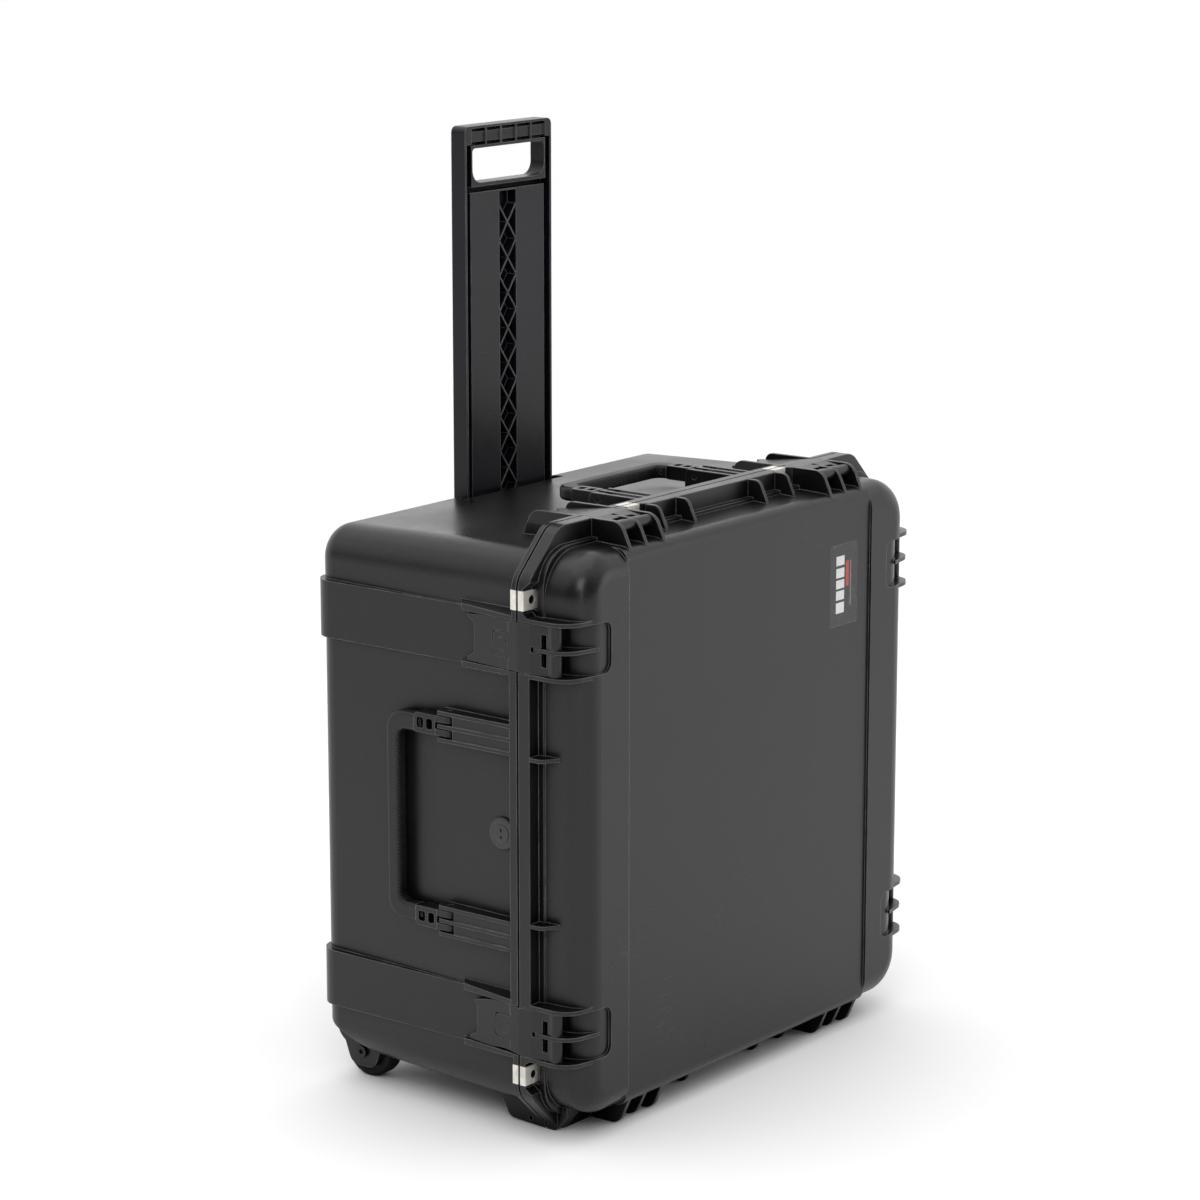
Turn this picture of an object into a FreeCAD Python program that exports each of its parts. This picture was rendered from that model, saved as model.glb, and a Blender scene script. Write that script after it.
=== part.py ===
import FreeCAD, Part
import math
import os

# Hard equipment case, standing upright on its wheels and its flange, in millimetres.
# X is the width, Z is up and -Y is the lid's side. While modelling, Y is zero at the parting
# plane between lid and base. The whole model is moved along Y at the end, so that the origin
# is at the middle of the case's footprint, on the floor.
# Latches, hinges and carry handles are drawn once, lying on the top of the rim: X runs
# along the rim, Y is the depth and Z is the height above the rim's outer face.

V = FreeCAD.Vector

# Rim: the flange where the two halves meet.
RIM_HALF_WIDTH = 305.0
RIM_HEIGHT = 629.0
MID_Z = RIM_HEIGHT / 2
RIM_CHAMFER = 49.0
RIM_BLEND = 25.0
BASE_RIM_DEPTH = 7.0
BASE_BAND_DEPTH = 10.5
LID_RIM_DEPTH = 7.2
LID_BAND_DEPTH = 15.0
RIM_INNER_WIDTH = 14.0
RIM_EDGE = 0.9
RIM_GAP = 2.4
RIM_GAP_DEPTH = 8.0

# Tubs: half sizes at the parting plane and at the far face.
BASE_DEPTH = 285.0
BASE_HALF_WIDTH = 292.0
BASE_HALF_HEIGHT = 291.0
BASE_DRAFT = 8.5
BASE_CORNER = 38.0
BASE_END_ROUND = 24.0
LID_DEPTH = 70.0
LID_PANEL_STEP = 3.0
LID_PANEL_HALF_WIDTH = 214.0
LID_HALF_WIDTH = 290.0
LID_HALF_HEIGHT = 292.5
LID_DRAFT = 5.0
LID_CORNER = 48.0
LID_SIDE_ROUND = 27.0
LID_PANEL_ROUND = 13.0
PLINTH_HALF_WIDTH = 290.5
PLINTH_HALF_HEIGHT = 295.5
PLINTH_CORNER = 40.0
PLINTH_DEPTH = 22.0
CAVITY_HALF = 284.0
CAVITY_CORNER = 36.0
LID_CAVITY_HALF_WIDTH = 279.0
LID_CAVITY_HALF_HEIGHT = 282.0
WALL = 4.6
GROOVE_INNER = 285.8
GROOVE_OUTER = 290.2
GROOVE_DEPTH = 4.2

# Stations round the rim.
SIDE_LATCH_OFFSET = 198.5
TOP_LATCH_OFFSET = 175.0
HINGE_OFFSET = 176.5
SIDE_EYE_OFFSET = 245.5
TOP_EYE_OFFSET = 128.0
GUSSET_OFFSETS = (-112.0, -63.0, 63.0, 112.0)
SIDE_GUSSET_OFFSETS = (-86.0, 86.0)

# Latches, between pairs of guard ribs.
GUARD_INNER = 25.8
GUARD_OUTER = 30.0
GUARD_FOOT = 35.0
GUARD_LOW = -13.5
RECESS_DEPTH = 4.5
RECESS_END = -62.0
POCKET_DEPTH = 3.4
MID_RIB = 4.0
SADDLE_HEIGHT = -13.4
LEVER_HALF = 25.0
LEVER_THICK = 3.2
LEVER_SLOPE = 0.12
LATCH_PIVOT_Y = -43.0
LATCH_PIVOT_Z = -7.4
BARREL_RADIUS = 6.3
LATCH_PIN_RADIUS = 2.0
LATCH_PIN_REACH = 29.0
SLOT_END = -17.0
TONGUE_HALF = 12.4
TONGUE_END = 34.0
TRIGGER_END = 71.0
TRIGGER_NOTCH = 61.0
TRIGGER_PIVOT_Y = 22.0
TRIGGER_PIVOT_Z = -8.9
TRIGGER_PIN_RADIUS = 1.5
SOCKET_RADIUS = 11.9
EAR_RADIUS = 2.9

# Lid hinge at the bottom.
HINGE_Y = 20.0
HINGE_Z = 6.5
HINGE_BARREL = 6.0
HINGE_PIN_RADIUS = 2.2

# Carry handles.
HANDLE_PIVOT_Z = -8.0
RIDGE_PITCH = 14.0
RIDGE_WIDTH = 4.0
RIDGE_END_RADIUS = 12.0
TINE_WIDTH = 6.6
TINE_RADIUS = 6.8
HANDLE_PIN_RADIUS = 2.5
HANDLE_TOP = -0.6
HANDLE_UNDER = -15.4
GRIP_FROM_PIVOT = 41.0
GRIP_BAR = 16.0
GRIP_ARM_WIDTH = 19.0
ARM_INSET = 8.0
# Distance of the pivot and of the grip's end from the parting plane, and half the grip's length.
SIDE_HANDLE = (95.0, 174.0, 110.0)
TOP_HANDLE = (60.0, 127.0, 91.0)

# Pull handle, drawn extended.
PULL_HALF_WIDTH = 72.0
PULL_FRONT = 257.5
PULL_BACK = 276.5
PULL_TOP = 991.0
PULL_BOTTOM = 528.0
PULL_TRAVEL = 385.0
PULL_SKIN = 2.6
PULL_GROOVE = 8.0
PULL_STRIP_HALF = 14.0
LATTICE_BOTTOM = 562.0
LATTICE_TOP = 904.0
LATTICE_PITCH = 38.0
CHANNEL_GAP = 0.6
CHANNEL_WALL = 3.3
CHANNEL_BACK = BASE_DEPTH - WALL
SCREW_RADIUS = 2.0

# Wheels.
WHEEL_RADIUS = 30.0
WHEEL_WIDTH = 24.0
WHEEL_X = 243.0
WHEEL_Y = 248.0
AXLE_RADIUS = 4.0
CHEEK_THICK = 5.0
CHEEK_GAP = 2.5

# Feet under the front corners.
FOOT_INNER = 244.0
FOOT_OUTER = 262.0

# Padlock eyes, pressure valve and label.
EYE_HALF = 10.0
EYE_CENTRE = -13.0
EYE_HOLE_RADIUS = 4.5
EYE_THICK = 1.2
EYE_LID_LEG = -23.0
EYE_BASE_LEG = -19.5
EYE_NOTCH = 12.5
EYE_ROOM = 7.6
VALVE_Y = 30.0
VALVE_RADIUS = 17.0
VALVE_HEIGHT = 4.4
VALVE_STEM = 6.0
VALVE_SEAT = BASE_HALF_WIDTH - 2.2
LABEL_X = 166.0
LABEL_Z = 505.0
LABEL_HALF_WIDTH = 24.5
LABEL_HALF_HEIGHT = 44.0
LABEL_THICK = 0.8

FIT = 0.05

# The case is centred on its footprint, front to back.
Y_SHIFT = (LID_DEPTH - BASE_DEPTH) / 2


def box(x0, x1, y0, y1, z0, z1):
    return Part.makeBox(x1 - x0, y1 - y0, z1 - z0, V(x0, y0, z0))


def rod_x(radius, x0, x1, y, z):
    return Part.makeCylinder(radius, x1 - x0, V(x0, y, z), V(1, 0, 0))


def rod_y(radius, y0, y1, x, z):
    return Part.makeCylinder(radius, y1 - y0, V(x, y0, z), V(0, 1, 0))


def rod_z(radius, z0, z1, x, y):
    return Part.makeCylinder(radius, z1 - z0, V(x, y, z0), V(0, 0, 1))


def outline(corners, place):
    """Closed wire through corners (u, v, radius); place turns (u, v) into a point."""
    bends = []
    count = len(corners)
    for i, (u, v, radius) in enumerate(corners):
        here = V(u, v, 0)
        back = (V(corners[i - 1][0], corners[i - 1][1], 0) - here).normalize()
        ahead = (V(corners[(i + 1) % count][0], corners[(i + 1) % count][1], 0) - here).normalize()
        if radius == 0:
            bends.append((here, None, here))
            continue
        half = back.getAngle(ahead) / 2
        reach = radius / math.tan(half)
        middle = here + (back + ahead).normalize() * (radius / math.sin(half) - radius)
        bends.append((here + back * reach, middle, here + ahead * reach))
    edges = []
    for i, (start, middle, stop) in enumerate(bends):
        if middle is not None:
            edges.append(Part.Arc(place(start), place(middle), place(stop)).toShape())
        following = bends[(i + 1) % count][0]
        if stop.distanceToPoint(following) > 1e-6:
            edges.append(Part.LineSegment(place(stop), place(following)).toShape())
    return Part.Wire(edges)


def prism_x(corners, x0, x1):
    """Outline in (Y, Z), extruded along X."""
    wire = outline(corners, lambda p: V(x0, p.x, p.y))
    return Part.Face(wire).extrude(V(x1 - x0, 0, 0))


def prism_y(corners, y0, y1):
    """Outline in (X, Z), extruded along Y."""
    wire = outline(corners, lambda p: V(p.x, y0, p.y))
    return Part.Face(wire).extrude(V(0, y1 - y0, 0))


def prism_z(corners, z0, z1):
    """Outline in (X, Y), extruded along Z."""
    wire = outline(corners, lambda p: V(p.x, p.y, z0))
    return Part.Face(wire).extrude(V(0, 0, z1 - z0))


def rounded_rectangle(half_width, half_height, radius, centre_z=MID_Z):
    return [
        (-half_width, centre_z - half_height, radius),
        (half_width, centre_z - half_height, radius),
        (half_width, centre_z + half_height, radius),
        (-half_width, centre_z + half_height, radius),
    ]


def drafted_tub(near, far, y0, y1, end_round):
    """Solid between two rounded rectangles (half_width, half_height, radius), far edges rounded."""
    wires = [
        outline(rounded_rectangle(*near), lambda p: V(p.x, y0, p.y)),
        outline(rounded_rectangle(*far), lambda p: V(p.x, y1, p.y)),
    ]
    solid = Part.makeLoft(wires, True, True)
    far_edges = [
        edge for edge in solid.Edges
        if all(abs(vertex.Y - y1) < 1e-3 for vertex in edge.Vertexes)
    ]
    return solid.makeFillet(end_round, far_edges)


def rim_outline(inset=0.0):
    """Eight-sided outline of the rim, with blended corners."""
    half = RIM_HALF_WIDTH - inset
    low = inset
    high = RIM_HEIGHT - inset
    cut = RIM_CHAMFER
    return [
        (-half + cut, low, RIM_BLEND),
        (half - cut, low, RIM_BLEND),
        (half, low + cut, RIM_BLEND),
        (half, high - cut, RIM_BLEND),
        (half - cut, high, RIM_BLEND),
        (-half + cut, high, RIM_BLEND),
        (-half, high - cut, RIM_BLEND),
        (-half, low + cut, RIM_BLEND),
    ]


def at(side, along, shape):
    """Move a shape drawn on top of the rim to a station on one of the rim's four sides."""
    angles = {"top": 0, "left": -90, "right": 90, "bottom": 180}
    places = {
        "top": V(along, 0, RIM_HEIGHT),
        "left": V(-RIM_HALF_WIDTH, 0, along),
        "right": V(RIM_HALF_WIDTH, 0, along),
        "bottom": V(along, 0, 0),
    }
    moved = shape.copy()
    moved.rotate(V(0, 0, 0), V(0, 1, 0), angles[side])
    moved.translate(places[side])
    return moved


LATCHES = {
    "left_upper": ("left", MID_Z + SIDE_LATCH_OFFSET),
    "left_lower": ("left", MID_Z - SIDE_LATCH_OFFSET),
    "right_upper": ("right", MID_Z + SIDE_LATCH_OFFSET),
    "right_lower": ("right", MID_Z - SIDE_LATCH_OFFSET),
    "top_left": ("top", -TOP_LATCH_OFFSET),
    "top_right": ("top", TOP_LATCH_OFFSET),
}
HINGES = {
    "left": ("bottom", -HINGE_OFFSET),
    "right": ("bottom", HINGE_OFFSET),
}
SIDE_LATCHES = [place for place in LATCHES.values() if place[0] != "top"]
LEVEL_STATIONS = [place for place in LATCHES.values() if place[0] == "top"] + list(HINGES.values())
HANDLES = {
    "left": ("left", MID_Z, SIDE_HANDLE),
    "right": ("right", MID_Z, SIDE_HANDLE),
    "top": ("top", 0.0, TOP_HANDLE),
}
EYES = [
    ("left", MID_Z + SIDE_EYE_OFFSET),
    ("left", MID_Z - SIDE_EYE_OFFSET),
    ("right", MID_Z + SIDE_EYE_OFFSET),
    ("right", MID_Z - SIDE_EYE_OFFSET),
    ("top", -TOP_EYE_OFFSET),
    ("top", TOP_EYE_OFFSET),
]


def everywhere(stations, shape):
    return [at(side, along, shape) for side, along in stations]


def mirrored(shape):
    return shape.mirror(V(0, 0, 0), V(1, 0, 0))


# ---------------------------------------------------------------- rim details

def guard_pair(profile):
    """Two parallel ribs with the same side profile."""
    return [prism_x(profile, GUARD_INNER, GUARD_OUTER), prism_x(profile, -GUARD_OUTER, -GUARD_INNER)]


def side_lid_guard():
    """From the parting plane, along the rim's level, round the lid's corner to its face."""
    return [(0, 0, 0), (-62.5, 0, 25), (-LID_DEPTH + 0.3, -46, 0), (-30, -46, 0), (0, -34, 0)]


def level_lid_guard():
    """The guards above and below end on the lid's wall, short of its face."""
    return [(0, 0, 0), (-51, 0, 16), (-65, -31, 0), (-30, -40, 0), (0, -34, 0)]


def side_mid_rib():
    """The rib between the guards stops short of the lever's solid plate."""
    return [(SLOT_END - 1.6, -1, 2), (-61, -1, 24), (-LID_DEPTH + 0.6, -43, 0), (-30, -43, 0),
            (SLOT_END - 1.6, -34, 0)]


def level_mid_rib():
    return [(SLOT_END - 1.6, -1, 2), (-50, -1, 16), (-64, -30, 0), (-30, -38, 0), (SLOT_END - 1.6, -34, 0)]


def side_base_guard():
    """A long wedge that falls from the rim's level to the wall."""
    return [(0, 0, 0), (78, -7.5, 5), (84, -15, 0), (84, -34, 0), (0, -34, 0)]


def level_base_guard():
    """The guards above and below stay level and drop steeply at their ends."""
    return [(0, 0, 0), (60, -0.5, 9), (70, -30, 0), (0, -34, 0)]


def guard_flanks(profile):
    """Sloping outer sides of the base's guards, wider at their foot on the wall."""
    slope = [(GUARD_OUTER - 1, -0.2, 0), (GUARD_OUTER, -0.2, 0), (GUARD_FOOT, GUARD_LOW, 0),
             (GUARD_FOOT, -26, 0), (GUARD_OUTER - 1, -26, 0)]
    flank = prism_y(slope, 0, 90).common(prism_x(profile, GUARD_OUTER - 1, GUARD_FOOT))
    return [flank, mirrored(flank)]


def saddle_cut(y0, y1):
    """Room between the guards for a latch lever or a hinge arm."""
    return box(-GUARD_INNER, GUARD_INNER, y0, y1, SADDLE_HEIGHT, 5)


def gusset(depth):
    """Small curved fin from the rim's level down to the lid's wall."""
    profile = [(-LID_BAND_DEPTH + 2, -0.3, 0), (-29, -0.3, 9), (-39, -depth, 0),
               (-39, -depth - 6, 0), (-LID_BAND_DEPTH + 2, -depth - 6, 0)]
    return prism_x(profile, -2.0, 2.0)


def softened(plate, y):
    """Round the edges of a plate that lie at y."""
    edges = [edge for edge in plate.Edges if all(abs(vertex.Y - y) < 1e-6 for vertex in edge.Vertexes)]
    return plate.makeFillet(RIM_EDGE, edges)


def base_rim():
    """Rim plate of the base, thicker between the latches."""
    plate = prism_y(rim_outline(), 0, BASE_RIM_DEPTH)
    side_half = SIDE_LATCH_OFFSET - GUARD_INNER
    top_half = TOP_LATCH_OFFSET - GUARD_INNER
    low = MID_Z - side_half
    high = MID_Z + side_half
    half = RIM_HALF_WIDTH
    bands = [
        box(-half, -half + RIM_INNER_WIDTH, 0, BASE_BAND_DEPTH, low, high),
        box(half - RIM_INNER_WIDTH, half, 0, BASE_BAND_DEPTH, low, high),
        box(-top_half, top_half, 0, BASE_BAND_DEPTH, RIM_HEIGHT - 26, RIM_HEIGHT),
        box(-top_half, top_half, 0, BASE_BAND_DEPTH, 0, 26),
    ]
    return plate.multiFuse(bands)


def lid_rim():
    """Rim plate of the lid, notched to the eyes' thickness, with a low plinth round the lid's body."""
    plate = softened(prism_y(rim_outline(), -LID_BAND_DEPTH, 0), -LID_BAND_DEPTH)
    notch = prism_z([(-EYE_NOTCH - 7, -LID_BAND_DEPTH - 1, 0), (-EYE_NOTCH, -LID_RIM_DEPTH, 0),
                     (EYE_NOTCH, -LID_RIM_DEPTH, 0), (EYE_NOTCH + 7, -LID_BAND_DEPTH - 1, 0)], -40, 5)
    plinth = prism_y(rounded_rectangle(PLINTH_HALF_WIDTH, PLINTH_HALF_HEIGHT, PLINTH_CORNER),
                     -PLINTH_DEPTH, -LID_RIM_DEPTH + 1)
    return plate.cut(everywhere(EYES, notch)).fuse(softened(plinth, -PLINTH_DEPTH))


def rim_gap():
    """Narrow gap between the two rims, open to the outside all the way round."""
    around = box(-400, 400, -RIM_GAP / 2, RIM_GAP / 2, -50, 700)
    return around.cut(prism_y(rim_outline(RIM_GAP_DEPTH), -RIM_GAP, RIM_GAP))


def eye_cut(y_out, y_face, leg):
    """Seat for a padlock eye: a step over the rim's edge, a slot for the leg and the hole."""
    low = min(y_out, y_face)
    high = max(y_out, y_face)
    step = box(-EYE_HALF - FIT, EYE_HALF + FIT, min(low, 0) - 1, max(high, 0) + 1, -EYE_THICK, 5)
    slot = box(-EYE_HALF - FIT, EYE_HALF + FIT, low, high, leg - FIT, 5)
    hole = rod_y(EYE_HOLE_RADIUS, min(low, -0.5), max(high + 8, 0.5), 0, EYE_CENTRE)
    return step.multiFuse([slot, hole])


def eye_plate(y_face, y_plate, y_edge, leg):
    """Folded strip: one leg on the rim's face, one leg over its edge."""
    low = min(y_face, y_plate)
    high = max(y_face, y_plate)
    plate = box(-EYE_HALF, EYE_HALF, low, high, leg, 0)
    edge = box(-EYE_HALF, EYE_HALF, min(low, y_edge), max(high, y_edge), -EYE_THICK + FIT, 0)
    hole = rod_y(EYE_HOLE_RADIUS, low - 5, high + 5, 0, EYE_CENTRE)
    return plate.fuse(edge).cut(hole).removeSplitter()


def hinge_sweep(radius):
    """Cylinder about the lid's hinge axis, wider than the case."""
    return rod_x(radius, -400, 400, HINGE_Y, HINGE_Z)


# ---------------------------------------------------------------- base shell

def base_outer():
    near = (BASE_HALF_WIDTH, BASE_HALF_HEIGHT, BASE_CORNER)
    far = (BASE_HALF_WIDTH - BASE_DRAFT, BASE_HALF_HEIGHT - BASE_DRAFT, BASE_CORNER - 4)
    return drafted_tub(near, far, 0, BASE_DEPTH, BASE_END_ROUND)


def within_wall():
    """The tub's outer shape, set back by a little, for what is thickened from inside."""
    inset = 1.2
    near = (BASE_HALF_WIDTH - inset, BASE_HALF_HEIGHT - inset, BASE_CORNER)
    far = (BASE_HALF_WIDTH - BASE_DRAFT - inset, BASE_HALF_HEIGHT - BASE_DRAFT - inset, BASE_CORNER - 4)
    return drafted_tub(near, far, 1, BASE_DEPTH - inset, BASE_END_ROUND)


def base_cavity():
    near = (CAVITY_HALF, CAVITY_HALF, CAVITY_CORNER)
    far_width = BASE_HALF_WIDTH - BASE_DRAFT - WALL
    far_height = BASE_HALF_HEIGHT - BASE_DRAFT - WALL
    far = (far_width, far_height, BASE_CORNER - 4 - WALL)
    return drafted_tub(near, far, -1, BASE_DEPTH - WALL, BASE_END_ROUND - WALL)


def side_band(centre_z):
    """Undrafted band along the side walls, in line with a pair of latches."""
    corners = [
        (-BASE_HALF_WIDTH, 0, 0),
        (BASE_HALF_WIDTH, 0, 0),
        (BASE_HALF_WIDTH, BASE_DEPTH, BASE_END_ROUND),
        (-BASE_HALF_WIDTH, BASE_DEPTH, BASE_END_ROUND),
    ]
    return prism_z(corners, centre_z - GUARD_OUTER, centre_z + GUARD_OUTER)


def front_foot():
    """Wedge under the base's front corner, beside the rim's chamfer."""
    profile = [(0, 0, 0), (47, 2.5, 10), (60, 26, 0), (60, 40, 0), (0, 40, 0)]
    return prism_x(profile, FOOT_INNER, FOOT_OUTER)


def lid_foot():
    """The same foot, carried on across the lid's rim."""
    profile = [(0, 0, 0), (-13, 0, 9), (-28, 18, 0), (-28, 34, 0), (0, 34, 0)]
    return prism_x(profile, FOOT_INNER, FOOT_OUTER)


def wheel_housing(limit):
    """Material round one wheel well, inside the tub, with two cheeks that hold the axle."""
    inner_x = WHEEL_X - WHEEL_WIDTH / 2 - CHEEK_GAP - CHEEK_THICK
    outer_x = WHEEL_X + WHEEL_WIDTH / 2 + CHEEK_GAP + CHEEK_THICK
    block = box(inner_x, outer_x, WHEEL_Y - 41, BASE_DEPTH, 24, 72).common(limit)
    cheek = [(214, 60, 0), (232, 13, 14), (264, 13, 14), (281, 60, 0)]
    cheeks = [prism_x(cheek, inner_x, inner_x + CHEEK_THICK), prism_x(cheek, outer_x - CHEEK_THICK, outer_x)]
    return block.multiFuse(cheeks)


def wheel_well():
    """Room for one wheel, open below and behind, and the slanted cut of the tub's corner."""
    inner_x = WHEEL_X - WHEEL_WIDTH / 2 - CHEEK_GAP
    outer_x = WHEEL_X + WHEEL_WIDTH / 2 + CHEEK_GAP
    well = prism_x([(214, -10, 0), (214, 64, 30), (300, 64, 0), (300, -10, 0)], inner_x, outer_x)
    corner = [(226, -10, 0), (226, 38, 6), (300, 76, 0), (300, -10, 0)]
    outside = prism_x(corner, outer_x + CHEEK_THICK, outer_x + 40)
    axle = rod_x(AXLE_RADIUS + FIT, inner_x - 20, outer_x + 20, WHEEL_Y, WHEEL_RADIUS)
    return well.multiFuse([outside, axle])


def pull_collar(limit):
    """Thickened shoulder round the pull handle's slot."""
    return box(-92, 92, 244, 281, 568, 600).common(limit)


def pull_slot():
    """Slot for the pull handle, with a shallow scoop round its mouth."""
    side = PULL_HALF_WIDTH + CHANNEL_GAP
    slot = box(-side, side, PULL_FRONT - CHANNEL_GAP, PULL_BACK + CHANNEL_GAP, 560, 620)
    scoop = prism_x([(250, 620, 0), (250, 590, 6), (300, 584, 0), (300, 620, 0)], -84, 84)
    return slot.fuse(scoop)


def bracket(size):
    """Three ridges with lower plates between them, and open slots for the handle's tines."""
    pivot, _, half_length = size
    arm = half_length - ARM_INSET
    height = HANDLE_PIVOT_Z
    flat = math.sqrt(RIDGE_END_RADIUS ** 2 - height ** 2)
    end = pivot + RIDGE_END_RADIUS
    parts = []
    for ridge in (-1, 0, 1):
        centre = arm + ridge * RIDGE_PITCH
        x0 = centre - RIDGE_WIDTH / 2
        x1 = centre + RIDGE_WIDTH / 2
        parts.append(box(x0, x1, 5, pivot + flat, -36, 0))
        parts.append(rod_x(RIDGE_END_RADIUS, x0, x1, pivot, height))
        parts.append(box(x0, x1, pivot, end, -36, height))
    parts.append(box(arm - RIDGE_PITCH, arm + RIDGE_PITCH, 5, pivot - 9, -36, -1.6))
    both = parts[0].multiFuse(parts[1:])
    keep = box(arm - 20, arm + 20, 0, end + 1, -36, 0)
    both = both.common(keep)
    both = both.cut(rod_x(HANDLE_PIN_RADIUS + FIT, arm - 30, arm + 30, pivot, height))
    return [both, mirrored(both)]


def base_shell():
    outer = base_outer()
    cavity = base_cavity()
    shell = outer.multiFuse([
        base_rim(),
        side_band(MID_Z + SIDE_LATCH_OFFSET),
        side_band(MID_Z - SIDE_LATCH_OFFSET),
        front_foot(),
        mirrored(front_foot()),
    ])
    ribs = []
    for places, profile in ((SIDE_LATCHES, side_base_guard()), (LEVEL_STATIONS, level_base_guard())):
        for guard in guard_pair(profile) + guard_flanks(profile):
            ribs += everywhere(places, guard)
    for side, along, size in HANDLES.values():
        ribs += [at(side, along, half) for half in bracket(size)]
    shell = shell.multiFuse(ribs)
    cuts = [cavity, rim_gap()]
    cuts += everywhere(LATCHES.values(), saddle_cut(-1, BASE_BAND_DEPTH + 1))
    cuts += everywhere(HINGES.values(), hinge_saddle())
    cuts += everywhere(EYES, eye_cut(BASE_RIM_DEPTH + EYE_THICK + FIT, BASE_RIM_DEPTH, EYE_BASE_LEG))
    cuts += [rod_x(HINGE_PIN_RADIUS + FIT, -400, 400, HINGE_Y, HINGE_Z)]
    shell = shell.cut(cuts)
    housing = wheel_housing(within_wall())
    shell = shell.multiFuse([housing, mirrored(housing), pull_collar(within_wall())])
    cuts = [wheel_well(), mirrored(wheel_well()), pull_slot()]
    cuts.append(valve_recess())
    for x, z in screw_places():
        cuts.append(rod_y(SCREW_RADIUS + FIT, CHANNEL_BACK - 1, CHANNEL_BACK + 3.2, x, z))
    return shell.cut(cuts).removeSplitter()


def valve_recess():
    """Seat and bore for the valve, turned so that their seams miss the wall's middle plane."""
    seat = rod_x(VALVE_RADIUS + 0.2, -300, -VALVE_SEAT, VALVE_Y, MID_Z)
    recess = seat.fuse(rod_x(VALVE_STEM + FIT, -VALVE_SEAT - 1, -270, VALVE_Y, MID_Z))
    recess.rotate(V(0, VALVE_Y, MID_Z), V(1, 0, 0), 37)
    return recess


def hinge_saddle():
    """Room between a hinge's guards for the lid's arm, through the base's rim."""
    return box(-GUARD_INNER, GUARD_INNER, -1, HINGE_Y + HINGE_BARREL + 1.5, -17, 5)


def screw_places():
    x = PULL_HALF_WIDTH + CHANNEL_GAP + CHANNEL_WALL + 7
    return [(side * x, z) for side in (-1, 1) for z in (160.0, 350.0, 540.0)]


# ---------------------------------------------------------------- lid

def lid_outer(depth, end_round):
    near = (LID_HALF_WIDTH, LID_HALF_HEIGHT, LID_CORNER)
    far = (LID_HALF_WIDTH - LID_DRAFT, LID_HALF_HEIGHT - LID_DRAFT / 2, LID_CORNER - 4)
    return drafted_tub(near, far, 0, -depth, end_round)


def lid_cavity():
    near = (LID_CAVITY_HALF_WIDTH, LID_CAVITY_HALF_HEIGHT, CAVITY_CORNER)
    far = (LID_CAVITY_HALF_WIDTH - LID_DRAFT, LID_CAVITY_HALF_HEIGHT - LID_DRAFT, CAVITY_CORNER)
    return drafted_tub(near, far, 1, -LID_DEPTH + LID_PANEL_STEP + WALL, LID_PANEL_ROUND)


def gasket_ring(inner, outer, y0, y1):
    ring = prism_y(rounded_rectangle(outer, outer, CAVITY_CORNER + outer - CAVITY_HALF), y0, y1)
    hole = prism_y(rounded_rectangle(inner, inner, CAVITY_CORNER + inner - CAVITY_HALF), y0 - 1, y1 + 1)
    return ring.cut(hole)


def hinge_arm():
    """Arm from the lid to its barrel behind the base's rim, in two leaves."""
    leaves = []
    for x0, x1 in ((-GUARD_INNER + 0.8, -3), (3, GUARD_INNER - 0.8)):
        strap = [(-12, -0.5, 0), (HINGE_Y, -0.5, 0), (HINGE_Y, -HINGE_Z - 3, 0), (-2, -12, 0), (-12, -30, 0)]
        leaves.append(prism_x(strap, x0, x1))
        leaves.append(rod_x(HINGE_BARREL, x0, x1, HINGE_Y, -HINGE_Z))
    arm = leaves[0].multiFuse(leaves[1:])
    return arm.cut(rod_x(HINGE_PIN_RADIUS + FIT, -40, 40, HINGE_Y, -HINGE_Z))


def label_recess(thickness):
    y = -LID_DEPTH + LID_PANEL_STEP
    return box(LABEL_X - LABEL_HALF_WIDTH, LABEL_X + LABEL_HALF_WIDTH, y, y + thickness,
               LABEL_Z - LABEL_HALF_HEIGHT, LABEL_Z + LABEL_HALF_HEIGHT)


def latch_recess():
    """Channel in the lid's side and face under both side latches of one height."""
    column = prism_y([(-GUARD_INNER, 5, 0), (GUARD_INNER, 5, 0), (GUARD_INNER, RECESS_END, 10),
                      (-GUARD_INNER, RECESS_END, 10)], -LID_DEPTH - 1, -PLINTH_DEPTH)
    near = (LID_HALF_WIDTH - RECESS_DEPTH, LID_HALF_HEIGHT, LID_CORNER)
    far = (LID_HALF_WIDTH - LID_DRAFT - RECESS_DEPTH, LID_HALF_HEIGHT, LID_CORNER)
    body = drafted_tub(near, far, 0, -LID_DEPTH + POCKET_DEPTH, LID_SIDE_ROUND)
    return [recess.cut(body) for recess in everywhere(SIDE_LATCHES, column)]


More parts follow.
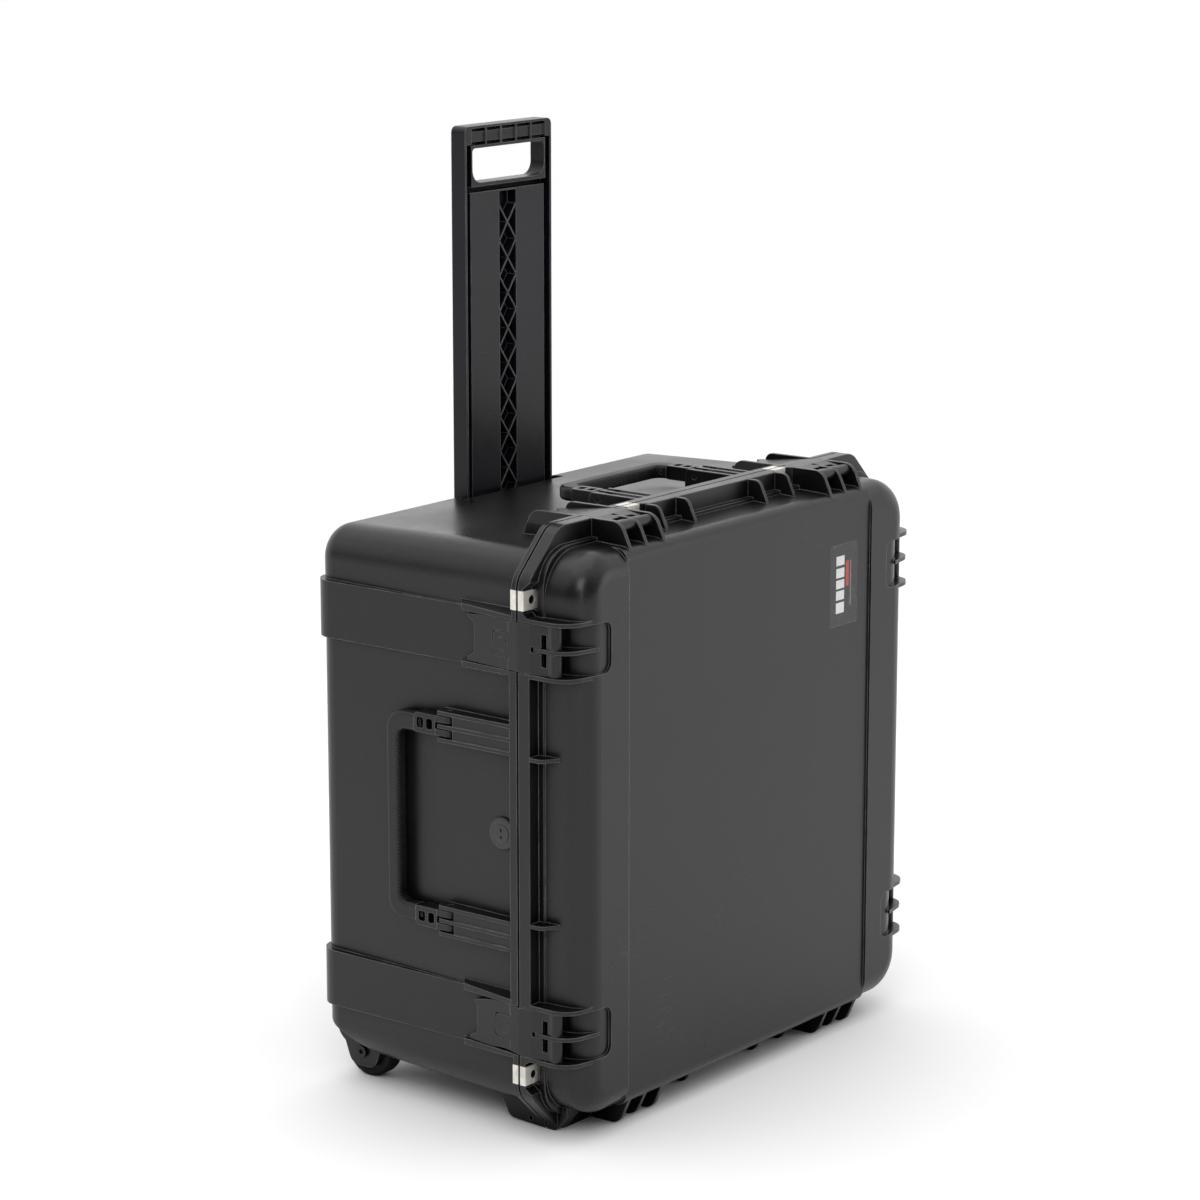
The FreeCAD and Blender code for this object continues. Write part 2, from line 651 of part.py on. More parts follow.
def lid_shell():
    middle = lid_outer(LID_DEPTH - LID_PANEL_STEP, LID_PANEL_ROUND)
    middle = middle.common(box(-LID_PANEL_HALF_WIDTH, LID_PANEL_HALF_WIDTH, -100, 10, -50, 700))
    strips = lid_outer(LID_DEPTH, LID_SIDE_ROUND)
    strips = strips.cut(box(-LID_PANEL_HALF_WIDTH, LID_PANEL_HALF_WIDTH, -100, 10, -50, 700))
    shell = middle.multiFuse([strips, lid_rim()]).cut(latch_recess())
    ribs = [lid_foot(), mirrored(lid_foot())]
    for places, guard_side, rib_side in (
        (SIDE_LATCHES, side_lid_guard(), side_mid_rib()),
        (LEVEL_STATIONS, level_lid_guard(), level_mid_rib()),
    ):
        for rib in guard_pair(guard_side) + [prism_x(rib_side, -MID_RIB / 2, MID_RIB / 2)]:
            ribs += everywhere(places, rib)
    ribs += everywhere([("top", x) for x in GUSSET_OFFSETS], gusset(22))
    ribs += everywhere([("bottom", x) for x in GUSSET_OFFSETS], gusset(22))
    for side in ("left", "right"):
        ribs += everywhere([(side, MID_Z + z) for z in SIDE_GUSSET_OFFSETS], gusset(16))
    shell = shell.multiFuse(ribs)
    cuts = [lid_cavity(), gasket_ring(GROOVE_INNER, GROOVE_OUTER, -GROOVE_DEPTH, 1)]
    cuts += [label_recess(LABEL_THICK)]
    for side in (-1, 1):
        strip = saddle_cut(-LID_BAND_DEPTH - 1, 1)
        cuts += everywhere(LATCHES.values(), cut_beside_rib(strip, side))
    cuts += everywhere(LATCHES.values(), box(-5, 5, SLOT_END - 0.6, 1, SADDLE_HEIGHT, 5))
    cuts += everywhere(LATCHES.values(), rod_x(LATCH_PIN_RADIUS + FIT, -LATCH_PIN_REACH, LATCH_PIN_REACH,
                                               LATCH_PIVOT_Y, LATCH_PIVOT_Z))
    cuts += everywhere(EYES, eye_cut(-LID_RIM_DEPTH - EYE_ROOM, -LID_RIM_DEPTH, EYE_LID_LEG))
    cuts += everywhere(HINGES.values(), box(-GUARD_INNER, GUARD_INNER, -LID_BAND_DEPTH - 1.4, 1, -17, 5))
    shell = shell.cut(cuts).cut(rim_gap())
    relief = hinge_sweep(math.hypot(HINGE_Y, HINGE_Z) + 0.3)
    shell = shell.cut(relief)
    arms = everywhere(HINGES.values(), hinge_arm())
    return shell.multiFuse(arms).removeSplitter()


def cut_beside_rib(strip, side):
    """The part of a latch saddle on one side of the middle rib."""
    inner = MID_RIB / 2
    half = box(inner, 40, -60, 10, -40, 10) if side > 0 else box(-40, -inner, -60, 10, -40, 10)
    return strip.common(half)


# ---------------------------------------------------------------- latches

def lever_plate_profile(end):
    """Side profile of the lever's plate, bent at the parting plane and down to its barrel."""
    under = -LEVER_THICK
    return [
        (end, -LEVER_SLOPE * end, 0),
        (0, 0, 0),
        (-16, 0, 24),
        (-37, -2.4, 0),
        (-43, -1.2, 0),
        (-43, -6.4, 0),
        (-36.5, -6.4, 0),
        (-16, under, 0),
        (0, under, 0),
        (end, under - LEVER_SLOPE * end, 0),
    ]


def latch_lever():
    wide = prism_x(lever_plate_profile(20), -LEVER_HALF, LEVER_HALF)
    tongue = prism_x(lever_plate_profile(TONGUE_END), -TONGUE_HALF, TONGUE_HALF)
    tongue_round = prism_z([(-TONGUE_HALF, -60, 0), (TONGUE_HALF, -60, 0), (TONGUE_HALF, TONGUE_END, 6),
                            (-TONGUE_HALF, TONGUE_END, 6)], -30, 10)
    socket = rod_x(SOCKET_RADIUS, -40, 40, TRIGGER_PIVOT_Y, TRIGGER_PIVOT_Z)
    beyond = box(-40, 40, TRIGGER_PIVOT_Y, 60, -40, 10)
    wide = wide.cut(socket.fuse(beyond))
    lever = wide.fuse(tongue.common(tongue_round))
    ears = []
    for x0, x1 in ((7.8, TONGUE_HALF), (-TONGUE_HALF, -7.8)):
        ears.append(rod_x(EAR_RADIUS, x0, x1, TRIGGER_PIVOT_Y, TRIGGER_PIVOT_Z))
        ears.append(box(x0, x1, TRIGGER_PIVOT_Y - EAR_RADIUS, TRIGGER_PIVOT_Y + EAR_RADIUS,
                        TRIGGER_PIVOT_Z, -LEVER_THICK - 1))
    barrel = rod_x(BARREL_RADIUS, -LEVER_HALF, LEVER_HALF, LATCH_PIVOT_Y, LATCH_PIVOT_Z)
    lever = lever.multiFuse(ears + [barrel])
    slot = box(-MID_RIB / 2 - 0.7, MID_RIB / 2 + 0.7, -60, SLOT_END, -20, 5)
    window = box(-16.5, 16.5, -35.6, -29.4, -20, 5)
    ring = rod_z(7.2, -3.4, 5, 0, 22.7).cut(rod_z(6.3, -10, 6, 0, 22.7))
    bores = [
        rod_x(LATCH_PIN_RADIUS + FIT, -40, 40, LATCH_PIVOT_Y, LATCH_PIVOT_Z),
        rod_x(TRIGGER_PIN_RADIUS + FIT, -40, 40, TRIGGER_PIVOT_Y, TRIGGER_PIVOT_Z),
    ]
    return lever.cut([slot.fuse(window), ring] + bores).removeSplitter()


def latch_trigger():
    """U-shaped release plate round the lever's tongue, with a notched free end."""
    profile = [
        (9, -LEVER_SLOPE * 9, 0),
        (TRIGGER_END, -LEVER_SLOPE * TRIGGER_END, 0),
        (TRIGGER_END, -LEVER_SLOPE * TRIGGER_END - 2.6, 0),
        (9, -LEVER_SLOPE * 9 - LEVER_THICK, 0),
    ]
    plate = prism_x(profile, -LEVER_HALF, LEVER_HALF)
    free_end = [
        (-LEVER_HALF, 5, 0),
        (LEVER_HALF, 5, 0),
        (LEVER_HALF, TRIGGER_END, 1.5),
        (21, TRIGGER_END, 4),
        (15, TRIGGER_NOTCH, 4),
        (-15, TRIGGER_NOTCH, 4),
        (-21, TRIGGER_END, 4),
        (-LEVER_HALF, TRIGGER_END, 1.5),
    ]
    plate = plate.common(prism_z(free_end, -30, 10))
    gap = TONGUE_HALF + 0.7
    throat = prism_z([(-gap, 0, 0), (gap, 0, 0), (gap, TONGUE_END + 1, 6), (-gap, TONGUE_END + 1, 6)], -30, 10)
    front = rod_x(SOCKET_RADIUS - 0.6, -40, 40, TRIGGER_PIVOT_Y, TRIGGER_PIVOT_Z)
    front = front.fuse(box(-40, 40, TRIGGER_PIVOT_Y, 90, -40, 10))
    plate = plate.common(front)
    ears = []
    for x0, x1 in ((gap, 19), (-19, -gap)):
        ears.append(rod_x(EAR_RADIUS, x0, x1, TRIGGER_PIVOT_Y, TRIGGER_PIVOT_Z))
        ears.append(box(x0, x1, TRIGGER_PIVOT_Y - EAR_RADIUS, TRIGGER_PIVOT_Y + EAR_RADIUS,
                        TRIGGER_PIVOT_Z, -LEVER_THICK - 2))
        ears.append(box(x0 if x0 > 0 else x1 - 2, x0 + 2 if x0 > 0 else x1, 30, 56, -10.5, -7))
    trigger = plate.cut(throat).multiFuse(ears)
    pin = rod_x(TRIGGER_PIN_RADIUS + FIT, -40, 40, TRIGGER_PIVOT_Y, TRIGGER_PIVOT_Z)
    return trigger.cut(pin).removeSplitter()


def trigger_spring():
    """Close-wound torsion spring on the trigger's pin, with one leg under the tongue."""
    coil = rod_x(2.5, -7.2, 7.2, TRIGGER_PIVOT_Y, TRIGGER_PIVOT_Z)
    leg = rod_y(0.4, TRIGGER_PIVOT_Y - 8, TRIGGER_PIVOT_Y, 6.5, TRIGGER_PIVOT_Z + 2.0)
    bore = rod_x(TRIGGER_PIN_RADIUS + FIT, -10, 10, TRIGGER_PIVOT_Y, TRIGGER_PIVOT_Z)
    return coil.fuse(leg).cut(bore).removeSplitter()


def clear_of_guards(shape, side, along):
    """Trim a side latch so that it swings out past the base's guards as the lid opens."""
    if side == "top":
        return shape
    upper = hinge_sweep(along + GUARD_INNER - HINGE_Z - 0.3)
    lower_face = along - GUARD_INNER - HINGE_Z
    lower = hinge_sweep(math.hypot(lower_face, HINGE_Y) + 0.3)
    front = box(-400, 400, -100, -0.5, -50, 700)
    trimmed = shape.common(upper).cut(lower)
    return trimmed.fuse(shape.common(front)).removeSplitter()


# ---------------------------------------------------------------- carry handles

def grip_outline(start, end, half, arm, bar, outer_round, inner_round):
    """U-shaped outline, open towards the pivots."""
    return [
        (-half, start, 0),
        (-half, end, outer_round),
        (half, end, outer_round),
        (half, start, 0),
        (half - arm, start, 0),
        (half - arm, end - bar, inner_round),
        (-half + arm, end - bar, inner_round),
        (-half + arm, start, 0),
    ]


def handle_core(size):
    """Stiff core that runs through the grip sleeve."""
    pivot, end, half_length = size
    inset = 4.5
    corners = grip_outline(pivot + GRIP_FROM_PIVOT - 6, end - inset, half_length - inset - 1,
                           GRIP_ARM_WIDTH - 2 * inset, GRIP_BAR - 2 * inset, 16, 13)
    return prism_z(corners, HANDLE_UNDER + 4, HANDLE_TOP - 4)


def handle_frame(size):
    """Two arms, each with two tines on the pivot and two windows, joined by the core."""
    pivot, _, half_length = size
    parts = [handle_core(size)]
    web_start = pivot + RIDGE_END_RADIUS + 0.8
    start = pivot + GRIP_FROM_PIVOT
    half = RIDGE_PITCH / 2 + TINE_WIDTH / 2
    for side in (-1, 1):
        centre = side * (half_length - ARM_INSET)
        for tine in (-1, 1):
            x0 = centre + tine * RIDGE_PITCH / 2 - TINE_WIDTH / 2
            x1 = x0 + TINE_WIDTH
            parts.append(rod_x(TINE_RADIUS, x0, x1, pivot, HANDLE_PIVOT_Z))
            parts.append(box(x0, x1, pivot, web_start + 4,
                             HANDLE_PIVOT_Z - TINE_RADIUS, HANDLE_PIVOT_Z + TINE_RADIUS))
        web = [
            (centre - half, web_start, 2),
            (centre + half, web_start, 2),
            (centre + half, start - 3, 0),
            (side * (half_length - 1) if side > 0 else centre + half - 1, start, 0),
            (centre - half + 1 if side > 0 else side * (half_length - 1), start, 0),
            (centre - half, start - 3, 0),
        ]
        arm = prism_z(web, HANDLE_UNDER, HANDLE_TOP)
        for y0, y1 in ((pivot + 16.4, pivot + 24.6), (pivot + 28.4, pivot + 37.4)):
            arm = arm.cut(prism_z([(centre - 5.5, y0, 2.5), (centre + 5.5, y0, 2.5),
                                   (centre + 5.5, y1, 2.5), (centre - 5.5, y1, 2.5)], -30, 10))
        parts.append(arm)
    frame = parts[0].multiFuse(parts[1:])
    pin = rod_x(HANDLE_PIN_RADIUS + FIT, -140, 140, pivot, HANDLE_PIVOT_Z)
    return frame.cut(pin).removeSplitter()


def handle_grip(size):
    """Soft sleeve moulded round the core."""
    pivot, end, half_length = size
    start = pivot + GRIP_FROM_PIVOT
    corners = grip_outline(start + 0.2, end, half_length, GRIP_ARM_WIDTH, GRIP_BAR, 20, 8.5)
    sleeve = prism_z(corners, HANDLE_UNDER, HANDLE_TOP)
    long_edges = [
        edge for edge in sleeve.Edges
        if abs(edge.BoundBox.ZLength) < 1e-3 and edge.BoundBox.YMax > start + 1
    ]
    return sleeve.makeFillet(4.0, long_edges).cut(handle_core(size))


def handle_pins(size):
    pivot, _, half_length = size
    arm = half_length - ARM_INSET
    half = RIDGE_PITCH + RIDGE_WIDTH / 2 - 0.6
    return [
        rod_x(HANDLE_PIN_RADIUS, side * arm - half, side * arm + half, pivot, HANDLE_PIVOT_Z)
        for side in (-1, 1)
    ]


# ---------------------------------------------------------------- pull handle

def lattice(z0, z1):
    """Crossed diagonal ribs in the middle strip."""
    ribs = []
    count = round((z1 - z0) / LATTICE_PITCH)
    length = math.hypot(2 * PULL_STRIP_HALF, LATTICE_PITCH)
    tilt = math.degrees(math.atan2(LATTICE_PITCH, 2 * PULL_STRIP_HALF))
    for i in range(count):
        for side in (-1, 1):
            rib = box(-length / 2, length / 2, PULL_FRONT + 2.0, PULL_FRONT + 15, -0.9, 0.9)
            rib.rotate(V(0, 0, 0), V(0, 1, 0), side * tilt)
            rib.translate(V(0, 0, z0 + (i + 0.5) * LATTICE_PITCH))
            ribs.append(rib)
    keep = box(-PULL_STRIP_HALF - 0.5, PULL_STRIP_HALF + 0.5, PULL_FRONT, PULL_BACK, z0, z1)
    return [rib.common(keep) for rib in ribs]


def pull_handle():
    half = PULL_HALF_WIDTH
    corners = [(-half, PULL_BOTTOM, 4), (half, PULL_BOTTOM, 4), (half, PULL_TOP, 7), (-half, PULL_TOP, 7)]
    plate = prism_y(corners, PULL_FRONT, PULL_BACK)
    opening = prism_y([(-60, 931, 14), (60, 931, 14), (60, 967.5, 4), (-60, 967.5, 4)], 200, 300)
    panel_top = 921.0
    panel_bottom = PULL_BOTTOM + 8
    skin = half - PULL_SKIN
    inner = skin - PULL_GROOVE
    cuts = [opening]
    for side in (-1, 1):
        x0 = min(side * inner, side * skin)
        cuts.append(box(x0, x0 + PULL_GROOVE, PULL_FRONT - 1, PULL_FRONT + 13, panel_bottom, 972))
    cuts.append(box(-inner, inner, PULL_FRONT - 1, PULL_FRONT + 2, panel_bottom, panel_top))
    cuts.append(box(-inner - 1, inner + 1, PULL_FRONT - 1, PULL_FRONT + 13, panel_top, 927))
    cuts.append(box(-PULL_STRIP_HALF, PULL_STRIP_HALF, PULL_FRONT - 1, PULL_FRONT + 14,
                    panel_bottom + 10, panel_top - 2))
    cell = (2 * inner - 4 * 2.0) / 5
    for i in range(5):
        x0 = -inner + i * (cell + 2.0)
        cuts.append(box(x0, x0 + cell, PULL_FRONT - 1, PULL_FRONT + 7, 970.5, 974))
        cuts.append(box(x0, x0 + cell, PULL_FRONT - 1, PULL_FRONT + 7, 985, 988.5))
        cuts.append(box(x0, x0 + cell, PULL_FRONT - 1, PULL_FRONT + 1.6, 974, 985))
    plate = plate.cut(Part.makeCompound(cuts))
    ribs = lattice(LATTICE_BOTTOM, LATTICE_TOP)
    return plate.multiFuse(ribs).removeSplitter()


def handle_channel():
    """Closed box behind the rear wall that guides the pull handle, with two screw flanges."""
    side = PULL_HALF_WIDTH + CHANNEL_GAP
    front = PULL_FRONT - CHANNEL_GAP
    back = PULL_BACK + CHANNEL_GAP
    top = 567.5
    bottom = PULL_BOTTOM - PULL_TRAVEL - 12
    outer = box(-side - CHANNEL_WALL, side + CHANNEL_WALL, front - CHANNEL_WALL, CHANNEL_BACK - FIT,
                bottom, top)
    flange = box(-side - CHANNEL_WALL - 14, side + CHANNEL_WALL + 14, back, CHANNEL_BACK - FIT, bottom, top)
    inner = box(-side, side, front, back, bottom + CHANNEL_WALL, top + 1)
    channel = outer.fuse(flange).cut(inner)
    for x, z in screw_places():
        channel = channel.cut(rod_y(SCREW_RADIUS + FIT, back - 1, CHANNEL_BACK + 1, x, z))
    return channel.removeSplitter()


def channel_screws():
    back = PULL_BACK + CHANNEL_GAP
    screws = []
    for x, z in screw_places():
        head = rod_y(4.0, back - 2.6 - FIT, back - FIT, x, z)
        recess = box(x - 2.4, x + 2.4, back - 5, back - 1.6, z - 0.5, z + 0.5)
        cross = box(x - 0.5, x + 0.5, back - 5, back - 1.6, z - 2.4, z + 2.4)
        shank = rod_y(SCREW_RADIUS, back - FIT, CHANNEL_BACK + 3.0, x, z)
        screws.append(head.fuse(shank).cut(recess.fuse(cross)).removeSplitter())
    return screws


# ---------------------------------------------------------------- wheels, valve, pins

def wheel_parts():
    """Hub and tyre of the wheel on the +X side."""
    x0 = WHEEL_X - WHEEL_WIDTH / 2
    x1 = WHEEL_X + WHEEL_WIDTH / 2
    rim_radius = 22.0
    hub = rod_x(rim_radius, x0 + 1.5, x1 - 1.5, WHEEL_Y, WHEEL_RADIUS)
    for face0, face1 in ((x0, x0 + 6), (x1 - 6, x1)):
        ring = rod_x(18.5, face0, face1, WHEEL_Y, WHEEL_RADIUS)
        hub = hub.cut(ring.cut(rod_x(8.5, face0 - 1, face1 + 1, WHEEL_Y, WHEEL_RADIUS)))
    hub = hub.fuse(rod_x(8.5, x0 - 0.8, x1 + 0.8, WHEEL_Y, WHEEL_RADIUS))
    hub = hub.cut(rod_x(AXLE_RADIUS + 0.06, x0 - 5, x1 + 5, WHEEL_Y, WHEEL_RADIUS))
    tyre = rod_x(WHEEL_RADIUS, x0, x1, WHEEL_Y, WHEEL_RADIUS)
    tyre = tyre.makeFillet(4.5, [edge for edge in tyre.Edges if edge.BoundBox.XLength < 1e-3])
    tyre = tyre.cut(rod_x(rim_radius + FIT, x0 - 5, x1 + 5, WHEEL_Y, WHEEL_RADIUS))
    return hub.removeSplitter(), tyre


def axle_bolt():
    """Bolt through both cheeks of the +X wheel well, with a socket head."""
    outer_x = WHEEL_X + WHEEL_WIDTH / 2 + CHEEK_GAP + CHEEK_THICK
    inner_x = WHEEL_X - WHEEL_WIDTH / 2 - CHEEK_GAP - CHEEK_THICK
    shank = rod_x(AXLE_RADIUS, inner_x - 3, outer_x + 1, WHEEL_Y, WHEEL_RADIUS)
    head = rod_x(6.5, outer_x + FIT, outer_x + 3.6, WHEEL_Y, WHEEL_RADIUS)
    socket = rod_x(2.6, outer_x + 1.2, outer_x + 5, WHEEL_Y, WHEEL_RADIUS)
    return shank.fuse(head).cut(socket).removeSplitter()


def valve_body():
    """Round pressure valve: a flanged disc in the wall's seat, with a stem through the wall."""
    top = -VALVE_SEAT - VALVE_HEIGHT
    disc = rod_x(VALVE_RADIUS, top, -VALVE_SEAT - FIT, VALVE_Y, MID_Z)
    disc = disc.makeFillet(1.8, [edge for edge in disc.Edges if edge.BoundBox.XMax < top + 0.2])
    stem = rod_x(VALVE_STEM, -VALVE_SEAT - 1, -280, VALVE_Y, MID_Z)
    seat = rod_x(9.0, top - 1, top + 1.4, VALVE_Y, MID_Z)
    return disc.fuse(stem).cut(seat).removeSplitter()


def valve_cap():
    """Vented cap in the middle of the valve."""
    top = -VALVE_SEAT - VALVE_HEIGHT
    cap = rod_x(8.9, top - 0.6, top + 1.4 - FIT, VALVE_Y, MID_Z)
    slots = [rod_x(2.0, top - 2, top + 0.6, VALVE_Y, MID_Z + offset) for offset in (-3.4, 3.4)]
    return cap.cut(slots)


def eyes(y_face, y_plate, y_edge, leg):
    return everywhere(EYES, eye_plate(y_face, y_plate, y_edge, leg))


def hinge_pins():
    reach = GUARD_OUTER - 0.6
    pin = rod_x(HINGE_PIN_RADIUS, -reach, reach, HINGE_Y, -HINGE_Z)
    return everywhere(HINGES.values(), pin)


def latch_pins():
    reach = LATCH_PIN_REACH - 0.3
    pin = rod_x(LATCH_PIN_RADIUS, -reach, reach, LATCH_PIVOT_Y, LATCH_PIVOT_Z)
    return everywhere(LATCHES.values(), pin)


# ---------------------------------------------------------------- all nodes

def all_nodes():
    nodes = {
        "base_shell": base_shell(),
        "handle_channel": handle_channel(),
        "channel_screws": Part.makeCompound(channel_screws()),
        "base_padlock_eyes": Part.makeCompound(eyes(BASE_RIM_DEPTH + FIT, BASE_RIM_DEPTH + EYE_THICK,
                                                     RIM_GAP / 2 + 0.1, EYE_BASE_LEG)),
        "valve_body": valve_body(),
        "valve_cap": valve_cap(),
        "hinge_pins": Part.makeCompound(hinge_pins()),
        "axle_bolts": Part.makeCompound([axle_bolt(), mirrored(axle_bolt())]),
        "lid_shell": lid_shell(),
        "lid_gasket": gasket_ring(GROOVE_INNER + 0.2, GROOVE_OUTER - 0.2, -GROOVE_DEPTH + FIT, -FIT),
        "lid_padlock_eyes": Part.makeCompound(eyes(-LID_RIM_DEPTH - FIT, -LID_RIM_DEPTH - EYE_THICK,
                                                    -RIM_GAP / 2 - 0.1, EYE_LID_LEG)),
        "latch_pins": Part.makeCompound(latch_pins()),
        "label_plate": label_recess(LABEL_THICK - FIT),
        "pull_handle": pull_handle(),
    }
    pins = []
    for side, along, size in HANDLES.values():
        pins += [at(side, along, pin) for pin in handle_pins(size)]
    nodes["carry_handle_pins"] = Part.makeCompound(pins)
    lever = latch_lever()
    trigger = latch_trigger()
    pin_reach = 18.5
    trigger_pin = rod_x(TRIGGER_PIN_RADIUS, -pin_reach, pin_reach, TRIGGER_PIVOT_Y, TRIGGER_PIVOT_Z)
    spring = trigger_spring()
    for name, (side, along) in LATCHES.items():
        nodes["latch_lever_" + name] = clear_of_guards(at(side, along, lever), side, along)
        nodes["latch_trigger_" + name] = clear_of_guards(at(side, along, trigger), side, along)
        nodes["trigger_pin_" + name] = at(side, along, trigger_pin)
        nodes["trigger_spring_" + name] = at(side, along, spring)
    for name, (side, along, size) in HANDLES.items():
        nodes["handle_frame_" + name] = at(side, along, handle_frame(size))
        nodes["handle_grip_" + name] = at(side, along, handle_grip(size))
    hub, tyre = wheel_parts()
    nodes["wheel_hub_right"] = hub
    nodes["wheel_tyre_right"] = tyre
    nodes["wheel_hub_left"] = mirrored(hub)
    nodes["wheel_tyre_left"] = mirrored(tyre)
    return nodes


os.makedirs("parts", exist_ok=True)
for name, shape in all_nodes().items():
    shape.translate(V(0, Y_SHIFT, 0))
    shape.exportStep("parts/" + name + ".step")
    print(name, "solids", len(shape.Solids), "valid", shape.isValid(), "volume", round(shape.Volume / 1000, 1))
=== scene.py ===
"""Looks of the hard equipment case: materials, stage, lights and camera."""

import math

import bpy
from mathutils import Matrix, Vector

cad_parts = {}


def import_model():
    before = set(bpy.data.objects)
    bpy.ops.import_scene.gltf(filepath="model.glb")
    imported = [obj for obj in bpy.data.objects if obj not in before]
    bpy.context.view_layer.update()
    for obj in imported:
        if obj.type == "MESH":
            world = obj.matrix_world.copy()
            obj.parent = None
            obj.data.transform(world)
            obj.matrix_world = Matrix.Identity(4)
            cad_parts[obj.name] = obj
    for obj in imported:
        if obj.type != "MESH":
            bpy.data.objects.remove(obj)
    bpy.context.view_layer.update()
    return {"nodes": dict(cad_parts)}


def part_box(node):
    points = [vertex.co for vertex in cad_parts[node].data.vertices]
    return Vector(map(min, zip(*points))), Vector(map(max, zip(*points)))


# Camera: the place and direction of the reference view, in the case's own frame.
CAMERA_PLACE = (-3.1108, -2.4034, 1.3642)
CAMERA_AZIMUTH = -52.0
CAMERA_ELEVATION = 12.5
CAMERA_LENS = 113.46
CAMERA_SENSOR = 36.0

# Studio: the backdrop's direction and brightness, and the softboxes
# (name, place, width, height, power in watts).
BACKDROP_DIRECTION = (0.55, 0.42, 0.72)
BACKDROP_EDGE = (-0.30, 0.40)
BACKDROP_LEVEL = 1.22
WALL_LEVEL = 0.12
FLOOR_REACH = 30.0
SOFTBOX_TARGET = (0.0, 0.0, 0.35)
SOFTBOXES = (
    ("overhead", (-0.3, 0.2, 2.8), 2.4, 2.4, 14.0),
    ("front_left", (-2.6, -1.8, 2.6), 1.5, 1.5, 26.0),
    ("front_right", (2.2, -3.2, 0.9), 1.6, 1.6, 12.0),
    ("camera_side", (-3.0, -2.9, 1.5), 0.35, 2.2, 9.0),
)

# Label: its colours, and its fields (left, right, bottom, top, colour) in shares of its size.
LABEL_DARK = (0.012, 0.012, 0.013)
LABEL_PALE = (0.62, 0.62, 0.61)
LABEL_RED = (0.45, 0.02, 0.02)
LABEL_GREY = (0.16, 0.16, 0.16)
LABEL_FIELDS = (
    (0.10, 0.52, 0.060, 0.20, LABEL_PALE),
    (0.10, 0.52, 0.235, 0.40, LABEL_PALE),
    (0.10, 0.52, 0.435, 0.60, LABEL_PALE),
    (0.10, 0.52, 0.635, 0.80, LABEL_PALE),
    (0.10, 0.52, 0.835, 0.95, LABEL_PALE),
    (0.60, 0.76, 0.450, 0.88, LABEL_RED),
    (0.82, 0.87, 0.120, 0.88, LABEL_GREY),
)

# Black plastic, and the painted highlight on its edges, a lighter grey.
BLACK = (0.005, 0.005, 0.0053)
EDGE_HIGHLIGHT_GREY = (0.20, 0.20, 0.203)
SCRATCH_GREY = (0.16, 0.16, 0.16)
DUST = (0.20, 0.195, 0.18)
# How far into corners and gaps the painted shade reaches: the gloss is turned down there so they look
# darker.
PAINTED_SHADE_REACH = 0.040

# Pattern sizes of the dust and of the brushed metal.
DUST_CELL = 0.011
BRUSH_LENGTH = 1.0 / 30.0
BRUSH_WIDTH = 1.0 / 2600.0

# Settings of the plastics and rubbers, and of the metals.
PLASTICS = {
    "shell_plastic": dict(colour=BLACK, roughness=0.28, scratches=0.02, dust=0.04),
    "latch_plastic": dict(colour=BLACK, roughness=0.30, edge=0.0012, scratches=0.03, dust=0.03),
    "handle_plastic": dict(colour=BLACK, roughness=0.30, edge=0.0012),
    "grip_rubber": dict(colour=(0.007, 0.007, 0.007), roughness=0.42, grain=0.0012, depth=0.00008,
                        dust=0.06, ribs=0.0036),
    "pull_handle_plastic": dict(colour=(0.0045, 0.0045, 0.007), roughness=0.28, scratches=0.10,
                                dust=0.05, specular=0.28),
    "channel_plastic": dict(colour=BLACK, roughness=0.45),
    "valve_plastic": dict(colour=(0.010, 0.010, 0.010), roughness=0.30, edge=0.0007, specular=0.60),
    "hub_plastic": dict(colour=BLACK, roughness=0.40),
    # Tyre and gasket edges carry a fainter painted highlight in dark grey.
    "tyre_rubber": dict(colour=(0.006, 0.006, 0.006), roughness=0.62, grain=0.0016, depth=0.00012,
                        edge_highlight_colour=(0.02, 0.02, 0.02), dust=0.08),
    "gasket_rubber": dict(colour=(0.006, 0.006, 0.006), roughness=0.70, grain=0.0014,
                          edge_highlight_colour=(0.015, 0.015, 0.015)),
}
METALS = {
    "stainless_plate": dict(colour=(0.86, 0.83, 0.76), roughness=0.48, brush=0.00002, metallic=0.45),
    "steel": dict(colour=(0.42, 0.42, 0.43), roughness=0.34, brush=0.00001),
    "dark_steel": dict(colour=(0.045, 0.045, 0.047), roughness=0.38, brush=0.00001),
    "spring_steel": dict(colour=(0.30, 0.30, 0.32), roughness=0.30, brush=0.00002, turn=(0.0, 0.0, 1.57)),
}

# Materials of the CAD nodes, by the start of the node's name.
FINISHES = {
    "base_shell": "shell_plastic",
    "lid_shell": "shell_plastic",
    "handle_channel": "channel_plastic",
    "channel_screws": "steel",
    "base_padlock_eyes": "stainless_plate",
    "lid_padlock_eyes": "stainless_plate",
    "valve_body": "valve_plastic",
    "valve_cap": "valve_plastic",
    "hinge_pins": "steel",
    "latch_pins": "dark_steel",
    "axle_bolts": "dark_steel",
    "carry_handle_pins": "dark_steel",
    "lid_gasket": "gasket_rubber",
    "label_plate": "label",
    "pull_handle": "pull_handle_plastic",
    "latch_lever": "latch_plastic",
    "latch_trigger": "latch_plastic",
    "trigger_pin": "steel",
    "trigger_spring": "spring_steel",
    "handle_frame": "handle_plastic",
    "handle_grip": "grip_rubber",
    "wheel_hub": "hub_plastic",
    "wheel_tyre": "tyre_rubber",
}


